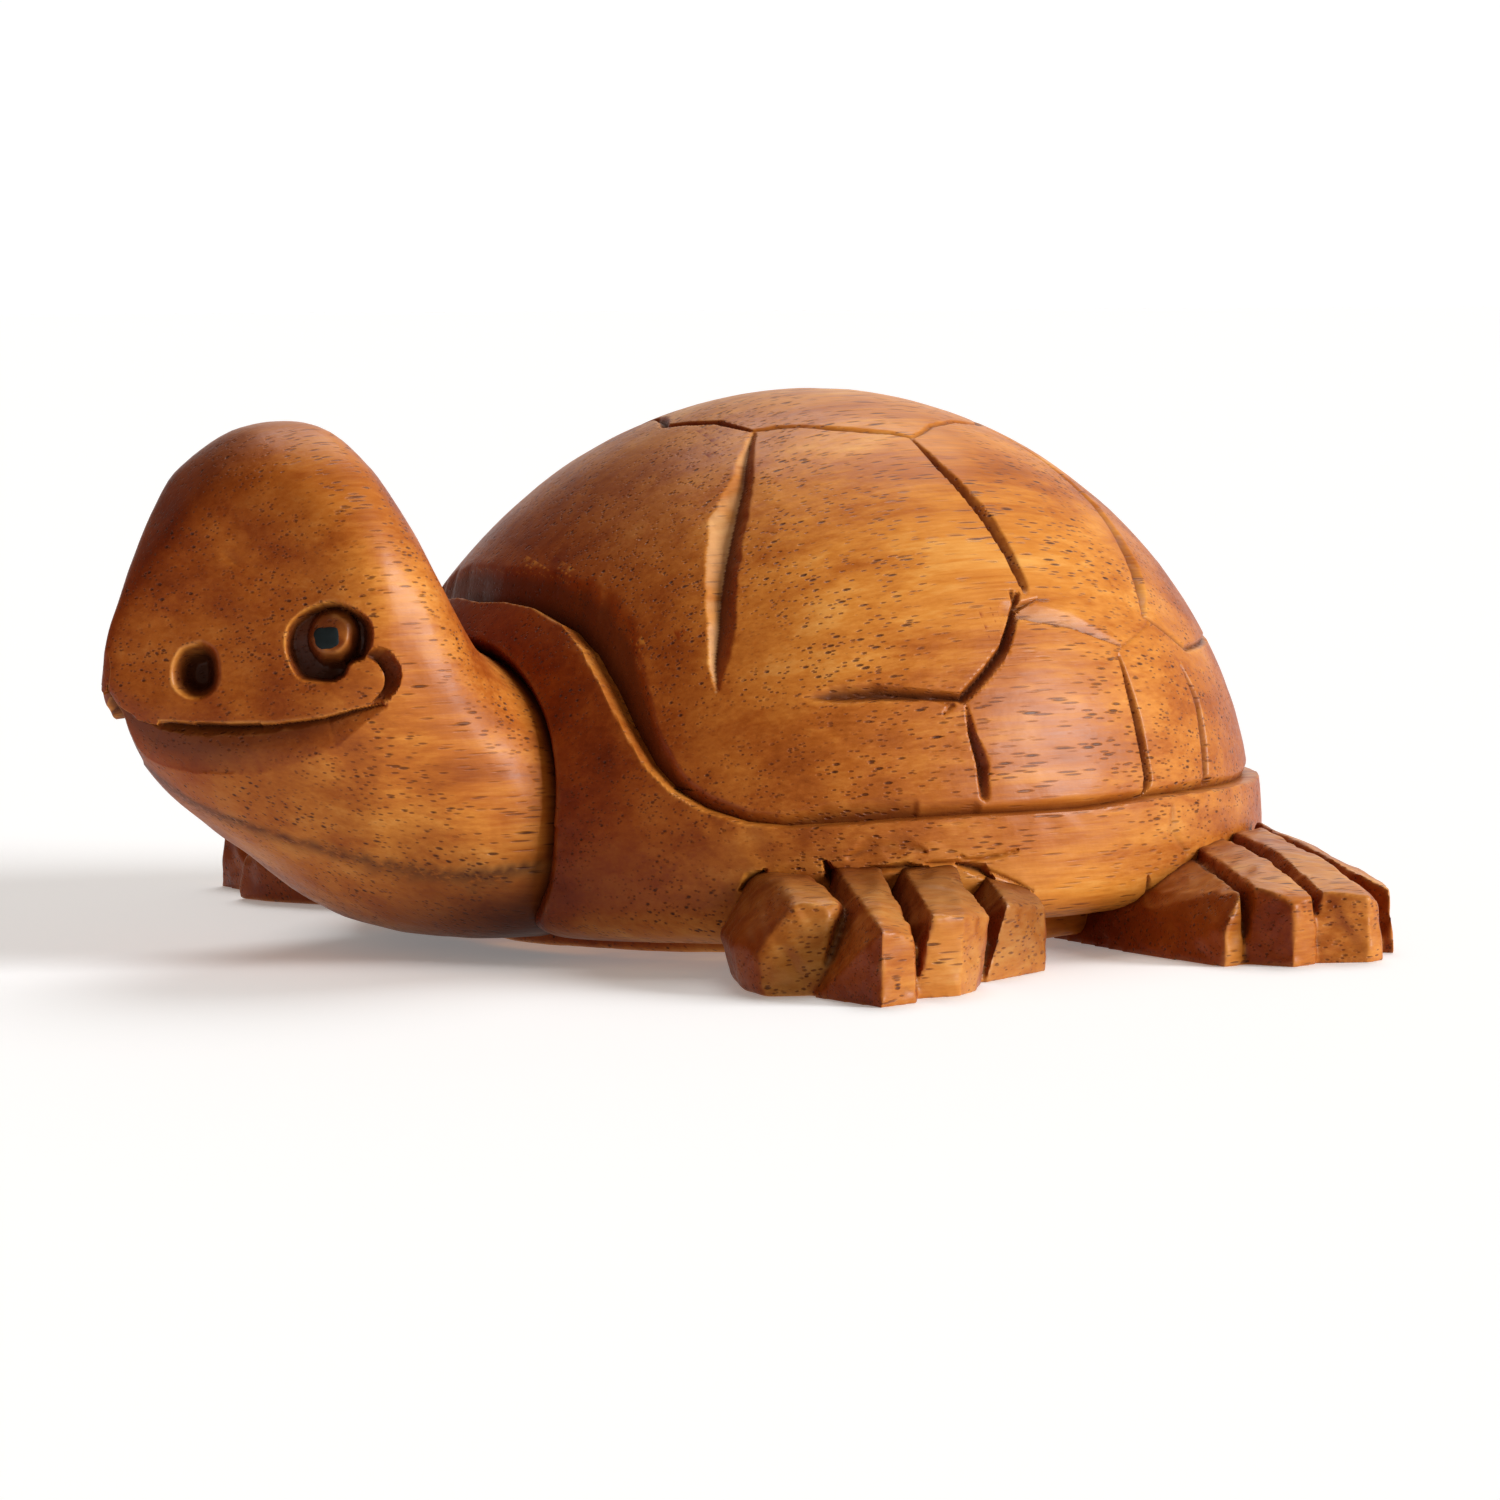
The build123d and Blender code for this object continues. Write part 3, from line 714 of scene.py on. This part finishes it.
def grow_together(piece, cell, smoothing):
    """Makes one even skin over the blocks of a piece, with slightly worn edges."""
    bpy.context.view_layer.objects.active = piece
    grid = piece.modifiers.new("grid", "REMESH")
    grid.mode, grid.voxel_size = "VOXEL", cell * mm
    bpy.ops.object.modifier_apply(modifier="grid")
    soft = piece.modifiers.new("soft", "SMOOTH")
    soft.factor, soft.iterations = 0.5, smoothing
    bpy.ops.object.modifier_apply(modifier="soft")


def join(blocks):
    bpy.ops.object.select_all(action="DESELECT")
    for piece in blocks:
        piece.select_set(True)
    bpy.context.view_layer.objects.active = blocks[0]
    bpy.ops.object.join()
    return blocks[0]


def thumb(corners, side):
    """The rounded first toe of a front foot, with its slanting end and its flat sole."""
    piece = block(corners, side)
    grow_together(piece, cell=0.5, smoothing=12)
    spot, out = np.array(thumb_slice) * (side, 1, 1)
    for at, way in ((spot * mm, out), ((0, 0, 0), (0, 0, -1))):
        with opened(piece):
            bpy.ops.mesh.bisect(plane_co=at, plane_no=way, use_fill=True, clear_outer=True)
    return piece


feet = []
for end, toes, palm in (("front", front_toes, front_palm), ("rear", rear_toes, rear_palm)):
    for side, word in ((1, "left"), (-1, "right")):
        parts = [block(corners, side) for corners in toes[1:] + [palm]]
        first = thumb(toes[0], side) if end == "front" else block(toes[0], side)
        foot = join(parts + [first])
        grow_together(foot, 0.22, smoothing=5)
        points = spots(foot)
        points[:, 2] = np.maximum(points[:, 2], 0)
        settle(foot, points)
        # Uneven above the sole, which stays flat
        rough = 0.17 * ripple(points, 2.4, 3.0 + side) + 0.09 * ripple(points, 0.9, 1.0 + side)
        rough *= ease(points[:, 2], 0.3, 1.2)
        settle(foot, points + facing(foot) * rough[:, None])
        out_from_trunk = off_trunk(points)
        # Painted shade where the foot meets the trunk, and a painted shadow of the rim over the
        # foot, stronger on the front feet
        mark(foot, "crease_shade", (1 - ease(out_from_trunk, 0.0, 0.9)) * 0.6)
        rim_shadow = 0.85 if end == "front" else 0.4
        mark(foot, "cut", rim_shadow * (1 - 0.75 * ease(out_from_trunk, 2, 21)))
        finish_form(foot, f"carved_{end}_{word}_foot", [f"{end}_{word}_foot"])
        feet.append(foot)

plate_middle = (0, middle[1] * mm, 2.1 * mm)
plate_half_width, plate_half_length = 30, 35
belly = fresh(bpy.ops.mesh.primitive_cylinder_add, vertices=160, radius=plate_half_width * mm,
              depth=3 * mm, location=plate_middle)
with opened(belly):
    bpy.ops.transform.resize(value=(1, plate_half_length / plate_half_width, 1),
                             center_override=plate_middle)
    bpy.ops.mesh.bevel(offset=0.9 * mm, segments=4, affect="EDGES")
bpy.ops.object.transform_apply(location=True, rotation=True, scale=True)
grow_together(belly, cell=0.5, smoothing=3)
carve(belly, [], uneven=0.06)
finish_form(belly, "belly_plate", ["plastron"])

tail = block([(-4.2, 46, 2.6), (4.2, 46, 2.6), (4.0, 53.7, 2.6), (1.1, 62.0, 2.6),
              (-1.1, 62.0, 2.6), (-4.0, 53.7, 2.6), (-4.0, 46, 9.2), (4.0, 46, 9.2),
              (3.4, 53.5, 9.0), (-3.4, 53.5, 9.0), (0.8, 61.9, 4.0), (-0.8, 61.9, 4.0)])
grow_together(tail, cell=0.25, smoothing=6)
carve(tail, [], uneven=0.08)
finish_form(tail, "carved_tail", ["tail"])

# ---- Pupils ----
# The dark dots of the eyes. Each is a dab of dark slate-coloured paint on the blunt end of its
# boss, put on with the tip of a brush and so not quite round.
pupils = []
dab_across, dab_high, dab_thick = 1.12, 0.98, 0.22
for side, word in ((1, "left"), (-1, "right")):
    socket = eye(side)
    points, normals = spots(head), facing(head)
    across, high = socket.flat_place(points)
    level = (points - socket.at) @ socket.out
    near = (np.hypot(across + 0.1 * side, high - 0.55) < 0.9) & (level > -3)
    at, out = points[near].mean(0), unit(normals[near].mean(0))
    sideways = unit(np.cross([0, 0, 1], out))
    pupil = fresh(bpy.ops.mesh.primitive_uv_sphere_add, segments=64, ring_count=32, radius=mm)
    x, y, z = spots(pupil).T
    turn = np.arctan2(y, x)
    uneven = 1 + 0.07 * np.cos(4 * turn + 2.6) + 0.04 * np.sin(3 * turn) + 0.02 * np.sin(9 * turn)
    settle(pupil, at + np.outer(x * dab_across * uneven, sideways)
           + np.outer(y * dab_high * uneven, np.cross(out, sideways))
           + np.outer(z * dab_thick, out))
    finish_form(pupil, f"{word}_pupil_dab", [f"{word}_pupil"])
    pupils.append(pupil)

# ---- Wood finish ----
# Raintree-like hardwood under a thin satin varnish: golden where the light meets it, reddish
# brown in the cuts from stain and painted shade, with long mottled bands and short dark pores along
# the grain.


class Value:
    """A number on its way through the shader, for plain arithmetic."""

    def __init__(self, bench, socket):
        self.bench, self.socket = bench, socket

    def __add__(self, other):
        return self.bench.node("ShaderNodeMath", [self, other], operation="ADD")

    def __sub__(self, other):
        return self.bench.node("ShaderNodeMath", [self, other], operation="SUBTRACT")

    def __rsub__(self, other):
        return self.bench.node("ShaderNodeMath", [other, self], operation="SUBTRACT")

    def __mul__(self, other):
        return self.bench.node("ShaderNodeMath", [self, other], operation="MULTIPLY")

    def __pow__(self, other):
        return self.bench.node("ShaderNodeMath", [self, other], operation="POWER")

    __radd__ = __add__


class Bench:
    """The nodes of one material or of the sky."""

    def __init__(self, owner):
        owner.use_nodes = True
        self.owner, self.tree = owner, owner.node_tree
        self.tree.nodes.clear()

    def node(self, kind, values=(), output=0, stops=(), **settings):
        """Adds a node, with the colours of its ramp if it has one, and gives back an output."""
        made = self.tree.nodes.new(kind)
        for key, setting in settings.items():
            setattr(made, key, setting)
        for extra in stops[2:]:
            made.color_ramp.elements.new(0.5)
        for k, (at, colour) in enumerate(stops):
            element = made.color_ramp.elements[k]
            element.position, element.color = at, (*colour, 1)
        pairs = values.items() if isinstance(values, dict) else enumerate(values)
        for key, value in pairs:
            if isinstance(value, Value):
                self.tree.links.new(value.socket, made.inputs[key])
            else:
                made.inputs[key].default_value = value
        return Value(self, made.outputs[output]) if made.outputs else None

    def mix(self, share, first, second, blend="MIX"):
        """Two colours mixed by a share."""
        return self.node("ShaderNodeMix", {0: share, 6: first, 7: second}, 2, data_type="RGBA",
                         blend_type=blend)

    def span(self, value, low, high, to_low=0.0, to_high=1.0):
        """0 at low and 1 at high, or what they are to be there, and smooth between."""
        return self.node("ShaderNodeMapRange", [value, low, high, to_low, to_high],
                         interpolation_type="SMOOTHSTEP")

    def noise(self, place, scale, detail=3.0, rough=0.55, twist=0.0):
        return self.node("ShaderNodeTexNoise", {"Vector": place, "Scale": scale, "Detail": detail,
                                                "Roughness": rough, "Distortion": twist})

    def stretched(self, place, scale, turn=(0, 0, 0)):
        """Places for a pattern that is drawn out along the grain, and turned a little off it."""
        return self.node("ShaderNodeMapping", {"Vector": place, "Scale": scale, "Rotation": turn})

    def dots(self, place, scale):
        """How far each place is from the middle of the nearest dot."""
        return self.node("ShaderNodeTexVoronoi", {"Vector": place, "Scale": scale}, feature="F1")

    def cover(self, pieces, **values):
        """Ends the material, and puts it on the pieces."""
        surface = self.node("ShaderNodeBsdfPrincipled", {
            key.replace("_", " "): value for key, value in values.items()})
        self.node("ShaderNodeOutputMaterial", {"Surface": surface})
        for piece in pieces:
            piece.data.materials.clear()
            piece.data.materials.append(self.owner)


wood = Bench(bpy.data.materials.new("varnished_wood"))
place = wood.node("ShaderNodeTexCoord", output=3)
cut, deep, bare, edge, hollow, streak, crease_shade, end_grain = (
    wood.node("ShaderNodeAttribute", output=2, attribute_name=name)
    for name in ("cut", "deep", "bare", "edge", "hollow", "streak", "crease_shade", "end_grain"))
along, level = (wood.node("ShaderNodeSeparateXYZ", [place], k) for k in (1, 2))
nose = wood.span(along, -0.040, -0.058)
crown = wood.span(level, 0.033, 0.042) * wood.span(along, -0.028, -0.034)

broad = wood.noise(wood.stretched(place, (1, 0.3, 1), (0.03, 0, 0.02)), 75, 2, 0.5, 0.5)
cloud = wood.noise(wood.stretched(place, (1, 0.4, 1)), 210, 3, 0.6, 0.8)
fibre = wood.noise(wood.stretched(place, (1, 0.035, 1), (0.03, 0, 0.02)), 2600, 3, 0.65)
band = wood.noise(wood.stretched(place, (1, 0.06, 1), (0.05, 0, 0.04)), 420, 3, 0.6, 0.3)
pattern = broad * 0.36 + cloud * 0.22 + band * 0.25 + fibre * 0.17
coloured = wood.node("ShaderNodeValToRGB", [pattern], stops=[
    (0.34, (0.27, 0.058, 0.005)), (0.45, (0.46, 0.13, 0.013)), (0.54, (0.64, 0.235, 0.033)),
    (0.66, (0.82, 0.41, 0.10))])
pores = wood.dots(wood.stretched(place, (1, 0.13, 1), (0.04, 0, 0.03)), 1500)
fine_pores = wood.dots(wood.stretched(place, (1, 0.075, 1), (0.02, 0, 0.05)), 2900)
crowded = wood.noise(wood.stretched(place, (1, 0.35, 1)), 260, 2)
pore = wood.span(pores, 0.24, 0.10) * wood.span(crowded, 0.40, 0.60)
fine_pore = wood.span(fine_pores, 0.32, 0.14) * wood.span(crowded, 0.28, 0.55)
patchy = wood.span(cloud, 0.3, 0.6)
for share, colour, blend in (
        # End grain took up more of the stain; the nose and the crown of the head are made darker
        # and redder
        (wood.span(end_grain, 0.2, 0.9), (0.48, 0.22, 0.085), "MULTIPLY"),
        (nose * 0.5, (0.76, 0.62, 0.46), "MULTIPLY"),
        (crown * 0.8, (0.62, 0.45, 0.30), "MULTIPLY"),
        # Open pores, and the growth ring under the neck
        (fine_pore * 0.75, (0.13, 0.030, 0.007), "MIX"),
        (pore * 0.85, (0.055, 0.012, 0.005), "MIX"),
        (streak * wood.span(fibre, 0.25, 0.5) * 0.9, (0.07, 0.014, 0.005), "MIX"),
        # Stain that ran into the cuts and hollows, with painted shade in the cuts, the deep
        # recesses, the hollows and the creases between the forms
        (cut * 0.8, (0.11, 0.022, 0.005), "MIX"),
        (deep * 0.8, (0.03, 0.007, 0.003), "MIX"),
        (hollow * 0.7, (0.07, 0.018, 0.006), "MIX"),
        (crease_shade * 0.95, (0.42, 0.20, 0.10), "MULTIPLY"),
        (crease_shade ** 2.5 * 0.85, (0.022, 0.006, 0.003), "MIX"),
        # Rubbed edges, lightened as wear with a painted highlight, and the flank that was cut after
        # the stain and left pale
        (edge * patchy * 0.22, (0.78, 0.42, 0.14), "MIX"),
        (bare * patchy * 0.6, (0.70, 0.40, 0.19), "MIX")):
    coloured = wood.mix(share, coloured, (*colour, 1), blend)
height = fibre * 0.15 - pore * 0.7 - fine_pore * 0.3 + wood.noise(place, 700, 2) * 0.3
bump = wood.node("ShaderNodeBump", {"Strength": 0.6, "Distance": 0.0003, "Height": height})
wood.cover([shell, trunk, head, belly, tail, *feet], Base_Color=coloured, Normal=bump,
           Roughness=wood.span(fibre, 0.3, 0.7, 0.36, 0.52) + bare * 0.2,
           Coat_Weight=0.09 - end_grain * 0.07, Coat_Roughness=0.2, Specular_IOR_Level=0.17)

paint = Bench(bpy.data.materials.new("slate_paint"))
fleck = paint.noise(paint.node("ShaderNodeTexCoord", output=3), 900, 3)
paint.cover(pupils, Roughness=0.6, Specular_IOR_Level=0.1,
            Base_Color=paint.mix(fleck, (0.006, 0.009, 0.010, 1), (0.018, 0.026, 0.028, 1)))

# ---- Studio ----
# A pale floor that glows slightly, and a sky that is bright behind the turtle and dimmer and
# warmer all round. A broad soft light comes from the right, a weaker one from above and behind,
# and the camera stands at the photograph's own place.
floor = fresh(bpy.ops.mesh.primitive_plane_add, size=12)
floor.name = "floor"
pale = Bench(bpy.data.materials.new("pale_floor"))
pale.cover([floor], Base_Color=(0.90, 0.93, 0.96, 1), Roughness=0.9, Specular_IOR_Level=0.0,
           Emission_Color=(1, 1, 1, 1), Emission_Strength=0.19)

camera_turn, camera_tilt, camera_distance = radians(55), radians(5), 0.5
right_hand = np.array([cos(camera_turn), sin(camera_turn), 0])
backward = np.array([sin(camera_turn) * cos(camera_tilt), -cos(camera_turn) * cos(camera_tilt),
                     sin(camera_tilt)])
# The view is centred a little left of the turtle's middle, and low enough to show its feet
left_of_middle = 0.060 / 11
target = np.array([0, middle[1], 15.35]) * mm - right_hand * left_of_middle

sky = Bench(bpy.data.worlds.new("studio"))
bpy.context.scene.world = sky.owner
heading = sky.node("ShaderNodeTexCoord")
bright_side = 0.12 * right_hand - 0.99 * backward
facing_it = sky.node("ShaderNodeVectorMath", [heading, tuple(bright_side)], 1,
                     operation="DOT_PRODUCT")
behind = sky.span(facing_it, 0.6, 0.93)
glow = sky.node("ShaderNodeBackground", {
    "Color": sky.mix(behind, (1, 0.76, 0.55, 1), (1, 1, 1, 1)), "Strength": 0.22 + behind * 0.8})
sky.node("ShaderNodeOutputWorld", {"Surface": glow})


def aim(thing, spot, at):
    """Puts a light or the camera at a spot, facing a point."""
    thing.location = Vector(spot)
    thing.rotation_euler = (Vector(at) - Vector(spot)).to_track_quat("-Z", "Y").to_euler()


camera = fresh(bpy.ops.object.camera_add)
camera.data.lens, camera.data.sensor_width = 132, 36
camera.data.clip_start, camera.data.clip_end = 0.01, 20
aim(camera, target + backward * camera_distance, target)
bpy.context.scene.camera = camera


def sun(name, right, up, towards, spread, strength):
    """A soft light from far off, in a direction as the camera sees it."""
    light = fresh(bpy.ops.object.light_add, type="SUN")
    light.name, light.data.angle, light.data.energy = name, radians(spread), strength
    aim(light, right_hand * right + backward * towards + [0, 0, up], (0, 0, 0))


sun("key", 0.93, 0.30, 0.20, 26, 3.5)
sun("top", 0.1, 0.83, -0.5, 38, 1.2)
bpy.context.scene.view_settings.view_transform = "Standard"
